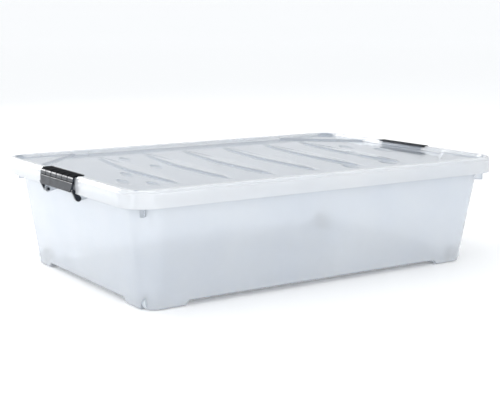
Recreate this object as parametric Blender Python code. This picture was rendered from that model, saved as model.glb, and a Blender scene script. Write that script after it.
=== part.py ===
"""Under-bed storage box: a tapered clear tub on four corner wheels, a stacking lid and two end latches.

Metres, +Z up. X is the long direction, Y the short one. The origin is on the floor below the middle of
the box. Run with: blender --background --python part.py
"""

import math

import bmesh
import bpy
from mathutils import Matrix, Vector

GAP = 0.0003
CLEAR = 0.0100
FAR = 1.0
MERGE = 0.00001
SMOOTH_ANGLE = math.radians(35.0)

# Whole box
WALL = 0.0022
ARC_STEPS = 8

# Tub
FOOT_BOTTOM = 0.0010
BASE_BOTTOM = 0.0090
RIM_TOP = 0.1835
TUB_BASE_X = 0.3300
TUB_BASE_Y = 0.2155
TUB_BASE_RADIUS = 0.0300
TUB_TOP_X = 0.3532
TUB_TOP_Y = 0.2455
TUB_TOP_RADIUS = 0.0440
TUB_EDGE = 0.0020
TUB_EDGE_FIRST = (0.8, 0.0)
TUB_EDGE_SECOND = (0.25, 0.3)
FOOT_INNER_X = 0.2630
FOOT_INNER_Y = 0.1510
FOOT_SLOPE = 0.0095

# Rim of the tub, hidden under the lid
RIM_X = 0.3675
RIM_Y = 0.2510
RIM_RADIUS = 0.0440
RIM_LIP_BOTTOM = 0.1720
RIM_LIP = 0.0020
GUSSET_BOTTOM = 0.1520
GUSSET_REACH = 0.0155
GUSSET_THICK = 0.0050
GUSSET_CORNER = (0.3354, 0.2269)

# Lid
LID_X = 0.3725
LID_Y = 0.2560
LID_RADIUS = 0.0470
SKIRT_BOTTOM = 0.1660
LID_TOP = 0.1940
LID_DRAFT = 0.0007
LID_STEP_Z = 0.1885
LID_STEP = 0.0008
LID_EDGE = 0.0016
RECESS_X = 0.3600
RECESS_Y = 0.2440
RECESS_RADIUS = 0.0350
RECESS_DRAFT = 0.0008
PANEL_TOP = 0.1860
PANEL_BOTTOM = PANEL_TOP - WALL
LEDGE_TOP = 0.1890
LEDGE_LEG = 0.1300
RIB_COUNT = 6
RIB_PITCH = 0.0900
RIB_HALF_LENGTH = 0.1850
RIB_HALF_WIDTH = 0.0240
RIB_HEIGHT = 0.0026
NOTCH_DEPTH = 0.0021
NOTCH_HALF = 0.0670
NOTCH_REACH = 0.0040
NOTCH_FLOOR = LID_TOP - NOTCH_DEPTH

# Latches, measured outwards from the middle of the box
PIVOT_OUT = 0.3675
PIVOT_Z = 0.1580
BOSS_RADIUS = 0.0048
PIN_RADIUS = 0.0020
LATCH_HALF = 0.0645
LATCH_TIP = 0.3560
LATCH_TOP = 0.1951
LATCH_UNDER = 0.1924
LATCH_INNER = 0.3733
NOSE_OUT = 0.3767
NOSE_RADIUS = 0.0080
STEP_Z = 0.1836
STEP_OUT = 0.0008
FACE_BOTTOM_OUT = 0.3795
FACE_BOTTOM_Z = 0.1680
FACE_THICK = 0.0028
CHAMFER = 0.0070
ARM_THICK = 0.0035
LIP_HEIGHT = 0.0005
LIP_FLAT = 0.0012
LIP_RUN = 0.0016
NOSE_STEPS = 7
INNER_CUT = 0.0023
STEP_DROP = 0.0004
INNER_LEAN = 0.0008
BOSS_START = 52.0
BOSS_SWEEP = 288.0
BOSS_STEPS = 12
ARM_ROOT = ((0.3792, 0.1680), (0.3783, 0.1750), (0.3746, 0.1816), (0.3737, 0.1655))
CHAMFER_DROP = 0.0063
EAR_THICK = 0.0040
EAR_GAP = 0.0006
EAR_ROOT = 0.0060
EAR_SETBACK = 0.0010
PIN_PAST_EAR = 0.0025

# Wheels and axle pins
WHEEL_RADIUS = 0.0125
WHEEL_WIDTH = 0.0110
WHEEL_X = 0.3150
WHEEL_Y = 0.2000
WHEEL_BEVEL = 0.0012
AXLE_RADIUS = 0.0020
AXLE_SINK = 0.0015
POCKET_SIDE_GAP = 0.0007
POCKET_END_GAP = 0.0015
ARCH_STEPS = 16
HOUSING_WALL = 0.0020

ENDS = (("left", -1.0), ("right", 1.0))
SIDES = (("front", -1.0), ("back", 1.0))

CLEAR_TUB = (0.85, 0.87, 0.89)
CLEAR_LID = (0.90, 0.91, 0.93)
BLACK = (0.03, 0.03, 0.032)
WHEEL_GREY = (0.55, 0.58, 0.60)
STEEL = (0.62, 0.62, 0.63)


def clear_scene():
    """Remove every object that is in the file."""
    for item in list(bpy.data.objects):
        bpy.data.objects.remove(item, do_unlink=True)


def make_collection(name):
    """Add a collection to the scene."""
    group = bpy.data.collections.new(name)
    bpy.context.scene.collection.children.link(group)
    return group


def make_material(name, colour, roughness, metallic=0.0):
    """A plain Principled material."""
    material = bpy.data.materials.new(name)
    material.use_nodes = True
    shader = material.node_tree.nodes["Principled BSDF"]
    shader.inputs["Base Color"].default_value = (*colour, 1.0)
    shader.inputs["Roughness"].default_value = roughness
    shader.inputs["Metallic"].default_value = metallic
    return material


def add_object(name, build, group, material=None):
    """Turn a bmesh into a named object in a collection."""
    bmesh.ops.recalc_face_normals(build, faces=build.faces)
    mesh = bpy.data.meshes.new(name)
    build.to_mesh(mesh)
    build.free()
    item = bpy.data.objects.new(name, mesh)
    group.objects.link(item)
    if material is not None:
        mesh.materials.append(material)
    return item


def add_tool(name, build, tools):
    """A solid that only cuts or joins another, never part of the box itself."""
    item = add_object(name, build, tools)
    item.hide_render = True
    item.display_type = "WIRE"
    return item


def combine(target, tool, operation):
    """Join, cut or keep the shared part of two solids."""
    modifier = target.modifiers.new(tool.name, "BOOLEAN")
    modifier.operation = operation
    modifier.solver = "EXACT"
    modifier.object = tool


def shade_round(item):
    """Smooth shading over the gentle edges only."""
    item.data.shade_smooth()
    item.data.set_sharp_from_angle(angle=SMOOTH_ANGLE)


def rounded_ring(half_x, half_y, radius, z):
    """Corner points of a rounded rectangle, anticlockwise seen from above."""
    points = []
    for corner in range(4):
        sign_x = 1.0 if corner in (0, 3) else -1.0
        sign_y = 1.0 if corner in (0, 1) else -1.0
        centre = Vector((sign_x * (half_x - radius), sign_y * (half_y - radius), z))
        for step in range(ARC_STEPS + 1):
            angle = math.pi / 2 * (corner + step / ARC_STEPS)
            points.append(centre + Vector((math.cos(angle), math.sin(angle), 0.0)) * radius)
    return points


def loft(rings):
    """Closed solid through rings of equal point count, lowest first."""
    build = bmesh.new()
    loops = [[build.verts.new(point) for point in ring] for ring in rings]
    count = len(loops[0])
    for low, high in zip(loops, loops[1:]):
        for i in range(count):
            j = (i + 1) % count
            build.faces.new((low[i], low[j], high[j], high[i]))
    build.faces.new(list(reversed(loops[0])))
    build.faces.new(loops[-1])
    return build


def rounded_solid(sections):
    """Closed solid through rounded rectangles given as (half_x, half_y, radius, z)."""
    return loft([rounded_ring(*section) for section in sections])


def block(low, high):
    """Axis-aligned box between two corners."""
    build = bmesh.new()
    size = Vector(high) - Vector(low)
    centre = (Vector(high) + Vector(low)) / 2
    place = Matrix.Translation(centre) @ Matrix.Diagonal((*size, 1.0))
    bmesh.ops.create_cube(build, size=1.0, matrix=place)
    return build


def cylinder_y(radius, centre, length, segments=24):
    """Closed cylinder along Y around a centre point."""
    build = bmesh.new()
    place = Matrix.Translation(centre) @ Matrix.Rotation(math.pi / 2, 4, "X")
    bmesh.ops.create_cone(
        build, cap_ends=True, segments=segments, radius1=radius, radius2=radius, depth=length, matrix=place
    )
    return build


def extruded_y(outline, low_y, high_y):
    """Closed prism of an outline of (x, z) points between two Y planes."""
    build = bmesh.new()
    near = [build.verts.new((x, low_y, z)) for x, z in outline]
    face = build.faces.new(near)
    moved = bmesh.ops.extrude_face_region(build, geom=[face])["geom"]
    far = [item for item in moved if isinstance(item, bmesh.types.BMVert)]
    bmesh.ops.translate(build, verts=far, vec=(0.0, high_y - low_y, 0.0))
    return build


def tub_section(z, inset=0.0):
    """Rounded rectangle of the tub's outside at a height, or a wall inside it."""
    share = (z - FOOT_BOTTOM) / (RIM_TOP - FOOT_BOTTOM)
    half_x = TUB_BASE_X + (TUB_TOP_X - TUB_BASE_X) * share
    half_y = TUB_BASE_Y + (TUB_TOP_Y - TUB_BASE_Y) * share
    radius = TUB_BASE_RADIUS + (TUB_TOP_RADIUS - TUB_BASE_RADIUS) * share
    return (half_x - inset, half_y - inset, radius - inset, z)


def tub_body(inset, low, high):
    """Tapered block with a small rounded bottom edge, used for the tub's outside and its inside."""
    sections = []
    for share_in, share_up in (TUB_EDGE_FIRST, TUB_EDGE_SECOND):
        sections.append(tub_section(low + TUB_EDGE * share_up, inset + TUB_EDGE * share_in))
    sections.append(tub_section(low + TUB_EDGE, inset))
    sections.append(tub_section(high, inset))
    return rounded_solid(sections)


def foot_relief(name, tools, along_x, grow):
    """Tapered channel under the base that leaves the feet standing in the corners."""
    top = BASE_BOTTOM + grow
    low = FOOT_BOTTOM - CLEAR
    spread = FOOT_SLOPE * (top - low) / (BASE_BOTTOM - FOOT_BOTTOM)
    if along_x:
        inner = FOOT_INNER_Y - FOOT_SLOPE + grow
        low_half = (FAR, inner + spread)
        high_half = (FAR, inner)
    else:
        inner = FOOT_INNER_X - FOOT_SLOPE + grow
        low_half = (inner + spread, FAR)
        high_half = (inner, FAR)
    rings = []
    for (half_x, half_y), z in ((low_half, low), (high_half, top)):
        corners = ((half_x, half_y), (-half_x, half_y), (-half_x, -half_y), (half_x, -half_y))
        rings.append([Vector((x, y, z)) for x, y in corners])
    return add_tool(name, loft(rings), tools)


def wheel_arch(sign_x, sign_y, grow):
    """Arch over a wheel, open downwards: a half circle on two upright legs, carried across the wheel."""
    radius = WHEEL_RADIUS + POCKET_END_GAP + grow
    half = WHEEL_WIDTH / 2 + POCKET_SIDE_GAP + grow
    x = sign_x * WHEEL_X
    y = sign_y * WHEEL_Y
    outline = [(x - radius, -CLEAR)]
    for step in range(ARCH_STEPS + 1):
        angle = math.pi * (1 - step / ARCH_STEPS)
        outline.append((x + radius * math.cos(angle), WHEEL_RADIUS + radius * math.sin(angle)))
    outline.append((x + radius, -CLEAR))
    return extruded_y(outline, y - half, y + half)


def add_rim(tub, tools):
    """Flange with a downturned lip round the top of the tub."""
    outer = rounded_solid([
        (RIM_X, RIM_Y, RIM_RADIUS, RIM_LIP_BOTTOM),
        (RIM_X, RIM_Y, RIM_RADIUS, RIM_TOP),
    ])
    rim = add_tool("rim_block", outer, tools)
    lip_radius = RIM_RADIUS - RIM_LIP
    hollow = rounded_solid([
        (RIM_X - RIM_LIP, RIM_Y - RIM_LIP, lip_radius, RIM_LIP_BOTTOM - CLEAR),
        (RIM_X - RIM_LIP, RIM_Y - RIM_LIP, lip_radius, RIM_TOP - WALL),
    ])
    combine(rim, add_tool("rim_hollow", hollow, tools), "DIFFERENCE")
    combine(tub, rim, "UNION")


def add_gussets(tub, tools):
    """Upright web across each corner, between the wall and the rim lip."""
    for end_name, sign_x in ENDS:
        for side_name, sign_y in SIDES:
            outwards = Vector((sign_x, sign_y, 0.0)).normalized()
            corner = Vector((sign_x * GUSSET_CORNER[0], sign_y * GUSSET_CORNER[1], 0.0))
            reach = GUSSET_REACH + 2 * WALL
            centre = corner + outwards * (reach / 2 - 2 * WALL)
            centre.z = (GUSSET_BOTTOM + RIM_TOP - WALL / 2) / 2
            height = RIM_TOP - WALL / 2 - GUSSET_BOTTOM
            turn = Matrix.Rotation(math.atan2(sign_y, sign_x), 4, "Z")
            build = bmesh.new()
            size = Matrix.Diagonal((reach, GUSSET_THICK, height, 1.0))
            bmesh.ops.create_cube(build, size=1.0, matrix=Matrix.Translation(centre) @ turn @ size)
            combine(tub, add_tool(f"gusset_{side_name}_{end_name}", build, tools), "UNION")


def ear_middle():
    """Distance from the middle plane to the middle of a latch ear."""
    return LATCH_HALF - ARM_THICK - EAR_GAP - EAR_THICK / 2


def add_ears(tub, tools):
    """Two ears at each end that carry a latch's pins."""
    for end_name, sign_x in ENDS:
        for side_name, sign_y in SIDES:
            y = sign_y * ear_middle()
            half = EAR_THICK / 2
            inner = sign_x * (TUB_TOP_X - EAR_ROOT)
            outer = sign_x * (PIVOT_OUT - EAR_SETBACK)
            low = (min(inner, outer), y - half, PIVOT_Z - BOSS_RADIUS)
            high = (max(inner, outer), y + half, RIM_TOP - WALL / 2)
            combine(tub, add_tool(f"ear_{side_name}_{end_name}", block(low, high), tools), "UNION")
            boss = cylinder_y(BOSS_RADIUS, (sign_x * PIVOT_OUT, y, PIVOT_Z), EAR_THICK)
            combine(tub, add_tool(f"ear_boss_{side_name}_{end_name}", boss, tools), "UNION")


def make_tub(parts, tools, material):
    """The tub: drafted walls, corner feet, wheel housings, rim, gussets and latch ears in one moulding."""
    tub = add_object("tub", tub_body(0.0, FOOT_BOTTOM, RIM_TOP), parts, material)
    add_rim(tub, tools)
    add_gussets(tub, tools)
    add_ears(tub, tools)
    for name, along_x in (("relief_long", True), ("relief_short", False)):
        combine(tub, foot_relief(name, tools, along_x, 0.0), "DIFFERENCE")
    inside = add_tool("inside", tub_body(WALL, FOOT_BOTTOM + WALL, RIM_TOP + WALL), tools)
    for name, along_x in (("floor_long", True), ("floor_short", False)):
        combine(inside, foot_relief(name, tools, along_x, WALL), "DIFFERENCE")
    for end_name, sign_x in ENDS:
        for side_name, sign_y in SIDES:
            label = f"{side_name}_{end_name}"
            housing = wheel_arch(sign_x, sign_y, HOUSING_WALL)
            combine(inside, add_tool(f"housing_{label}", housing, tools), "DIFFERENCE")
    combine(tub, inside, "DIFFERENCE")
    cut_corners(tub, tools)
    return tub


def cut_corners(tub, tools):
    """The wheel pockets, the axle pins' seats and the holes of the latches' pins."""
    for end_name, sign_x in ENDS:
        for side_name, sign_y in SIDES:
            label = f"{side_name}_{end_name}"
            combine(tub, add_tool(f"pocket_{label}", wheel_arch(sign_x, sign_y, 0.0), tools), "DIFFERENCE")
            axle_centre = (sign_x * WHEEL_X, sign_y * WHEEL_Y, WHEEL_RADIUS)
            axle_hole = cylinder_y(AXLE_RADIUS + GAP, axle_centre, axle_length() + 2 * GAP)
            combine(tub, add_tool(f"axle_hole_{label}", axle_hole, tools), "DIFFERENCE")
            pin_centre = (sign_x * PIVOT_OUT, sign_y * ear_middle(), PIVOT_Z)
            pin_hole = cylinder_y(PIN_RADIUS + GAP, pin_centre, EAR_THICK + CLEAR)
            combine(tub, add_tool(f"pin_hole_{label}", pin_hole, tools), "DIFFERENCE")


def lid_section(inset, round_off, z):
    """Rounded rectangle of the lid's outside at a height, less an inset and a rounding of its corners."""
    away = inset + round_off
    return (LID_X - away, LID_Y - away, LID_RADIUS - away, z)


def lid_shell(drop):
    """Solid of the lid's outside, or of the space inside it when dropped by a wall."""
    top = LID_TOP - drop
    low = SKIRT_BOTTOM - (CLEAR if drop else 0.0)
    shoulder = drop + LID_DRAFT + LID_STEP
    return rounded_solid([
        lid_section(drop, 0.0, low),
        lid_section(drop + LID_DRAFT, 0.0, LID_STEP_Z - GAP),
        lid_section(shoulder, 0.0, LID_STEP_Z),
        lid_section(shoulder, 0.0, top - LID_EDGE),
        lid_section(shoulder, LID_EDGE, top),
    ])


def recess_section(grow, z):
    """Rounded rectangle of the stacking recess at a height."""
    return (RECESS_X + grow, RECESS_Y + grow, RECESS_RADIUS + grow, z)


def recess_block(grow, low):
    """Block of the stacking recess in the lid's top, widening upwards."""
    return rounded_solid([
        recess_section(grow - RECESS_DRAFT, low),
        recess_section(grow + RECESS_DRAFT, LID_TOP + CLEAR),
    ])


def notch_block(name, tools, sign_x, grow, floor):
    """Block of the latch notch across one end of the lid's rim."""
    edge = sign_x * (LID_X + CLEAR)
    inner = sign_x * (RECESS_X - NOTCH_REACH)
    low = (min(edge, inner), -NOTCH_HALF - grow, floor)
    high = (max(edge, inner), NOTCH_HALF + grow, LID_TOP + CLEAR)
    return add_tool(name, block(low, high), tools)


def add_ledges(lid, tools):
    """Three-cornered ledges in the corners of the panel, where the feet of a box on top stand."""
    for end_name, sign_x in ENDS:
        for side_name, sign_y in SIDES:
            corner_x = sign_x * (RECESS_X + WALL / 2)
            corner_y = sign_y * (RECESS_Y + WALL / 2)
            plan = ((corner_x, corner_y), (corner_x - sign_x * LEDGE_LEG, corner_y),
                    (corner_x, corner_y - sign_y * LEDGE_LEG))
            levels = (PANEL_TOP - WALL / 2, LEDGE_TOP)
            ledge = loft([[Vector((x, y, z)) for x, y in plan] for z in levels])
            tool = add_tool(f"ledge_{side_name}_{end_name}", ledge, tools)
            space = recess_block(WALL / 2, PANEL_TOP - WALL)
            combine(tool, add_tool(f"ledge_keep_{side_name}_{end_name}", space, tools), "INTERSECT")
            combine(lid, tool, "UNION")


def add_ribs(lid, tools):
    """Low leaf-shaped ribs across the panel."""
    for index in range(RIB_COUNT):
        x = RIB_PITCH * (index - (RIB_COUNT - 1) / 2)
        build = bmesh.new()
        size = Matrix.Diagonal((RIB_HALF_WIDTH, RIB_HALF_LENGTH, RIB_HEIGHT * 2, 1.0))
        place = Matrix.Translation((x, 0.0, PANEL_TOP - RIB_HEIGHT)) @ size
        bmesh.ops.create_uvsphere(build, u_segments=24, v_segments=12, radius=1.0, matrix=place)
        rib = add_tool(f"rib_{index + 1}", build, tools)
        keep = block((x - RIB_PITCH, -FAR, PANEL_TOP - WALL / 2), (x + RIB_PITCH, FAR, LID_TOP))
        combine(rib, add_tool(f"rib_keep_{index + 1}", keep, tools), "INTERSECT")
        combine(lid, rib, "UNION")


def make_lid(parts, tools, material):
    """The lid: a skirt, a narrow raised rim with latch notches and a sunk panel with ledges and ribs."""
    lid = add_object("lid", lid_shell(0.0), parts, material)
    inside = add_tool("lid_inside", lid_shell(WALL), tools)
    combine(inside, add_tool("lid_panel_block", recess_block(WALL, PANEL_BOTTOM), tools), "DIFFERENCE")
    for end_name, sign_x in ENDS:
        shelf = notch_block(f"notch_shelf_{end_name}", tools, sign_x, WALL, NOTCH_FLOOR - WALL)
        combine(inside, shelf, "DIFFERENCE")
    combine(lid, inside, "DIFFERENCE")
    combine(lid, add_tool("lid_recess", recess_block(0.0, PANEL_TOP), tools), "DIFFERENCE")
    for end_name, sign_x in ENDS:
        combine(lid, notch_block(f"notch_{end_name}", tools, sign_x, 0.0, NOTCH_FLOOR), "DIFFERENCE")
    add_ledges(lid, tools)
    add_ribs(lid, tools)
    return lid


def latch_outline(sign_x):
    """Side outline of a latch: top plate, rounded nose, step and outer face."""
    points = [(LATCH_TIP, LATCH_UNDER), (LATCH_TIP, LATCH_TOP + LIP_HEIGHT)]
    points += [(LATCH_TIP + LIP_FLAT, LATCH_TOP + LIP_HEIGHT), (LATCH_TIP + LIP_RUN, LATCH_TOP)]
    for step in range(NOSE_STEPS + 1):
        angle = math.pi / 2 * (1 - step / NOSE_STEPS)
        x = NOSE_OUT - NOSE_RADIUS + NOSE_RADIUS * math.cos(angle)
        z = LATCH_TOP - NOSE_RADIUS + NOSE_RADIUS * math.sin(angle)
        points.append((x, z))
    points += [(NOSE_OUT, STEP_Z), (NOSE_OUT + STEP_OUT, STEP_Z - STEP_DROP)]
    points += [(FACE_BOTTOM_OUT, FACE_BOTTOM_Z), (FACE_BOTTOM_OUT - FACE_THICK, FACE_BOTTOM_Z - STEP_DROP)]
    points += [(LATCH_INNER + INNER_LEAN, STEP_Z), (LATCH_INNER, LATCH_UNDER - INNER_CUT)]
    points += [(LATCH_INNER - INNER_CUT, LATCH_UNDER)]
    return [(sign_x * x, z) for x, z in points]


def arm_outline(sign_x):
    """Side outline of a latch arm: a drop shape from the face down to the round boss."""
    points = []
    for step in range(BOSS_STEPS + 1):
        angle = math.radians(BOSS_START + step * BOSS_SWEEP / BOSS_STEPS)
        x = PIVOT_OUT + BOSS_RADIUS * math.cos(angle)
        z = PIVOT_Z + BOSS_RADIUS * math.sin(angle)
        points.append((x, z))
    points += ARM_ROOT
    return [(sign_x * x, z) for x, z in points]


def make_latch(name, sign_x, parts, tools, material):
    """One latch with its arms and pins, placed so that its origin is on its pivot line."""
    plate = extruded_y(latch_outline(sign_x), -LATCH_HALF, LATCH_HALF)
    latch = add_object(name, plate, parts, material)
    for side_name, sign_y in SIDES:
        low_y, high_y = sorted((sign_y * (LATCH_HALF - ARM_THICK), sign_y * LATCH_HALF))
        corner = block((-CHAMFER, -CHAMFER, -CHAMFER), (CHAMFER, CHAMFER, CHAMFER))
        turn = Matrix.Rotation(math.pi / 4, 4, "X")
        tip = (sign_x * FACE_BOTTOM_OUT, sign_y * LATCH_HALF, FACE_BOTTOM_Z - CHAMFER_DROP)
        place = Matrix.Translation(tip)
        bmesh.ops.transform(corner, matrix=place @ turn, verts=corner.verts)
        combine(latch, add_tool(f"{name}_chamfer_{side_name}", corner, tools), "DIFFERENCE")
        arm = extruded_y(arm_outline(sign_x), low_y, high_y)
        combine(latch, add_tool(f"{name}_arm_{side_name}", arm, tools), "UNION")
        reach = ARM_THICK / 2 + EAR_GAP + EAR_THICK + PIN_PAST_EAR
        pin_y = sign_y * (LATCH_HALF - ARM_THICK / 2 - reach / 2)
        pin = cylinder_y(PIN_RADIUS, (sign_x * PIVOT_OUT, pin_y, PIVOT_Z), reach)
        combine(latch, add_tool(f"{name}_pin_{side_name}", pin, tools), "UNION")
    pivot = Vector((sign_x * PIVOT_OUT, 0.0, PIVOT_Z))
    for tool in tools.objects:
        if tool.name.startswith(name):
            tool.data.transform(Matrix.Translation(-pivot))
            tool.location = pivot
    latch.data.transform(Matrix.Translation(-pivot))
    latch.location = pivot
    return latch


def axle_length():
    """Full length of an axle pin, sunk in both cheeks of its pocket."""
    return WHEEL_WIDTH + 2 * POCKET_SIDE_GAP + 2 * AXLE_SINK


def make_wheel(name, sign_x, sign_y, parts, material):
    """One wheel, its origin on its axle, turned from a profile about Y."""
    half = WHEEL_WIDTH / 2
    bore = AXLE_RADIUS + GAP
    soft = WHEEL_RADIUS - WHEEL_BEVEL
    profile = (
        (bore, half), (soft, half), (WHEEL_RADIUS, half - WHEEL_BEVEL),
        (WHEEL_RADIUS, WHEEL_BEVEL - half), (soft, -half), (bore, -half), (bore, half),
    )
    build = bmesh.new()
    verts = [build.verts.new((0.0, y, -radius)) for radius, y in profile[:-1]]
    edges = [build.edges.new((verts[i], verts[(i + 1) % len(verts)])) for i in range(len(verts))]
    bmesh.ops.spin(
        build, geom=verts + edges, cent=(0.0, 0.0, 0.0), axis=(0.0, 1.0, 0.0),
        angle=math.tau, steps=32, use_merge=True, use_duplicate=False,
    )
    bmesh.ops.remove_doubles(build, verts=build.verts, dist=MERGE)
    wheel = add_object(name, build, parts, material)
    wheel.location = (sign_x * WHEEL_X, sign_y * WHEEL_Y, WHEEL_RADIUS)
    shade_round(wheel)
    return wheel


def make_axle(name, sign_x, sign_y, parts, material):
    """One axle pin, its origin on its axis."""
    axle = add_object(name, cylinder_y(AXLE_RADIUS, (0.0, 0.0, 0.0), axle_length()), parts, material)
    axle.location = (sign_x * WHEEL_X, sign_y * WHEEL_Y, WHEEL_RADIUS)
    shade_round(axle)
    return axle


def main():
    """Build the whole box."""
    clear_scene()
    parts = make_collection("under_bed_box")
    tools = make_collection("cutters")
    make_tub(parts, tools, make_material("clear_tub", CLEAR_TUB, 0.35))
    make_lid(parts, tools, make_material("clear_lid", CLEAR_LID, 0.30))
    black = make_material("black_latch", BLACK, 0.45)
    grey = make_material("grey_wheel", WHEEL_GREY, 0.45)
    steel = make_material("steel_pin", STEEL, 0.30, 1.0)
    for end_name, sign_x in ENDS:
        make_latch(f"latch_{end_name}", sign_x, parts, tools, black)
        for side_name, sign_y in SIDES:
            make_wheel(f"wheel_{side_name}_{end_name}", sign_x, sign_y, parts, grey)
            make_axle(f"axle_pin_{side_name}_{end_name}", sign_x, sign_y, parts, steel)


main()
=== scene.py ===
"""Looks of the under-bed storage box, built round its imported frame.

X runs along the box, Y across it and Z up, with the floor at z = 0. Lengths are in metres. Each sub-assembly
is a class that holds its sizes, builds its surfaces and dresses them with a finish.
"""

import logging
import math
from collections.abc import Sequence
from dataclasses import dataclass
from enum import Enum

import bmesh
import bpy
import numpy as np
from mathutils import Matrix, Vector


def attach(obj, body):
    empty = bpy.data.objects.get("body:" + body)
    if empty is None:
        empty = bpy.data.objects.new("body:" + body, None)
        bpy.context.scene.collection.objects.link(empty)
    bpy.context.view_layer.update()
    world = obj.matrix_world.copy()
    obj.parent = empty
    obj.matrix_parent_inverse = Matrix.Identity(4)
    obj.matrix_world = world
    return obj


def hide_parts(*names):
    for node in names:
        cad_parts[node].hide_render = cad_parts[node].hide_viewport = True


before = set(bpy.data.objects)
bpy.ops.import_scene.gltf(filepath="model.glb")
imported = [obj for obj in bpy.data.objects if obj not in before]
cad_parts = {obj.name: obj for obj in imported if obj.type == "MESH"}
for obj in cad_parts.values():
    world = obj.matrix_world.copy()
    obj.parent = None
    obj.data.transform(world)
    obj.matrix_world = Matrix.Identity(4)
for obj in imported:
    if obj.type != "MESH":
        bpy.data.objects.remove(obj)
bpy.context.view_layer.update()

LOG = logging.getLogger("storage_box")
SEAM = 2e-6
WALL = 0.0022
# Name of the point attribute that holds painted shade for the clear plastic.
PAINTED_SHADE = "depth"
CREASE = 32.0
PIVOT = (0.3675, 0.1580)
BOSS_RADIUS = 0.0048
WHEEL_PLACE = (0.3150, 0.2000, 0.0125)


class End(Enum):
    """Short end of the box, with the sign of its X."""

    LEFT = -1
    RIGHT = 1


class Side(Enum):
    """Long side of the box, with the sign of its Y."""

    FRONT = -1
    BACK = 1


class Slot(Enum):
    """Material slots of the record."""

    CLEAR_TUB = "clear_tub"
    CLEAR_LID = "clear_lid"
    BLACK_LATCH = "black_latch"
    GREY_WHEEL = "grey_wheel"
    STEEL_PIN = "steel_pin"


class Cut(Enum):
    """Ways of combining two closed solids."""

    JOIN = "UNION"
    TAKE = "DIFFERENCE"
    KEEP = "INTERSECT"


# ---------------------------------------------------------------- numbers


def ease(value: np.ndarray) -> np.ndarray:
    """Smooth step: 3 t squared minus 2 t cubed, with t held between 0 and 1.

    Args:
        value: Position along the step.

    Returns:
        The height of the step, from 0 to 1.
    """
    held = np.clip(value, 0.0, 1.0)
    return held * held * (3.0 - 2.0 * held)


def stations(low: float, high: float, spacing: float, marks: Sequence[float] = ()) -> np.ndarray:
    """Positions from low to high no further apart than a spacing, with one on every mark.

    Args:
        low: First position.
        high: Last position.
        spacing: Widest gap between neighbours.
        marks: Positions that must be among them.

    Returns:
        The sorted positions.
    """
    ends = np.unique(np.round([low, high] + [m for m in marks if low < m < high], 7))
    spans = [
        np.linspace(a, b, max(1, math.ceil((b - a) / spacing)), endpoint=False)
        for a, b in zip(ends[:-1], ends[1:])
    ]
    return np.concatenate(spans + [ends[-1:]])


def mirrored(marks: Sequence[float]) -> list[float]:
    """The marks and their negatives."""
    return sorted({-m for m in marks} | set(marks))


# ---------------------------------------------------------------- surfaces


class Skin:
    """Patches of points that close one piece between them."""

    def __init__(self) -> None:
        """Starts with no patches."""
        self._points: list[np.ndarray] = []
        self._quads: list[np.ndarray] = []
        self._count = 0

    def patch(self, points: np.ndarray, around: bool = False) -> None:
        """Adds a grid of points and the faces between its neighbours.

        Args:
            points: Grid of shape (rows, columns, 3).
            around: Whether the last column meets the first.
        """
        rows, columns, _ = points.shape
        index = self._count + np.arange(rows * columns).reshape(rows, columns)
        if around:
            index = np.concatenate([index, index[:, :1]], axis=1)
        corners = (index[:-1, :-1], index[:-1, 1:], index[1:, 1:], index[1:, :-1])
        self._points.append(points.reshape(-1, 3))
        self._quads.append(np.stack(corners, axis=-1).reshape(-1, 4))
        self._count += rows * columns

    def build(self, name: str, crease: float = CREASE) -> bpy.types.Object:
        """Closes the seams, turns the faces outwards and marks the edges that stay sharp.

        Args:
            name: Name of the piece.
            crease: Angle in degrees above which an edge is sharp.

        Returns:
            The finished object.
        """
        mesh = bpy.data.meshes.new(name)
        points = np.concatenate(self._points)
        mesh.from_pydata(points.tolist(), [], np.concatenate(self._quads).tolist())
        build = bmesh.new()
        build.from_mesh(mesh)
        bmesh.ops.remove_doubles(build, verts=build.verts, dist=SEAM)
        bmesh.ops.recalc_face_normals(build, faces=build.faces)
        build.to_mesh(mesh)
        build.free()
        piece = bpy.data.objects.new(name, mesh)
        bpy.context.scene.collection.objects.link(piece)
        soften(piece, crease)
        return piece


def soften(piece: bpy.types.Object, crease: float) -> None:
    """Shades a piece smooth except over edges sharper than an angle in degrees."""
    mesh = piece.data
    mesh.polygons.foreach_set("use_smooth", np.ones(len(mesh.polygons), dtype=bool))
    mesh.set_sharp_from_angle(angle=math.radians(crease))
    mesh.update()


def vectors(items: bpy.types.bpy_prop_collection, key: str) -> np.ndarray:
    """One vector of each vertex or face, one row each."""
    values = np.empty(len(items) * 3)
    items.foreach_get(key, values)
    return values.reshape(-1, 3)


def store_painted_shade(mesh: bpy.types.Mesh, depth: np.ndarray) -> None:
    """Stores on each vertex how much painted shade darkens the plastic's tint there, from 0 to 1."""
    mark = mesh.attributes.new(PAINTED_SHADE, "FLOAT", "POINT")
    mark.data.foreach_set("value", depth.astype(np.float32))


def combine(target: bpy.types.Object, tool: bpy.types.Object, cut: Cut) -> None:
    """Joins a tool to a target, takes it away or keeps what they share, then removes the tool.

    Args:
        target: Piece that is kept.
        tool: Piece that is used up.
        cut: What happens to the two.
    """
    step = target.modifiers.new("combine", "BOOLEAN")
    step.object = tool
    step.operation = cut.value
    step.solver = "EXACT"
    shaped = target.evaluated_get(bpy.context.evaluated_depsgraph_get())
    mesh = bpy.data.meshes.new_from_object(shaped)
    target.modifiers.clear()
    old = target.data
    target.data = mesh
    mesh.name = target.name
    bpy.data.meshes.remove(old)
    bpy.data.objects.remove(tool)
    soften(target, CREASE)


def grown(half: Sequence[float], by: float, height: float) -> tuple[float, ...]:
    """Half length, half width and corner radius grown by a distance, then the height."""
    return (*(size + by for size in half), height)


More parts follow.
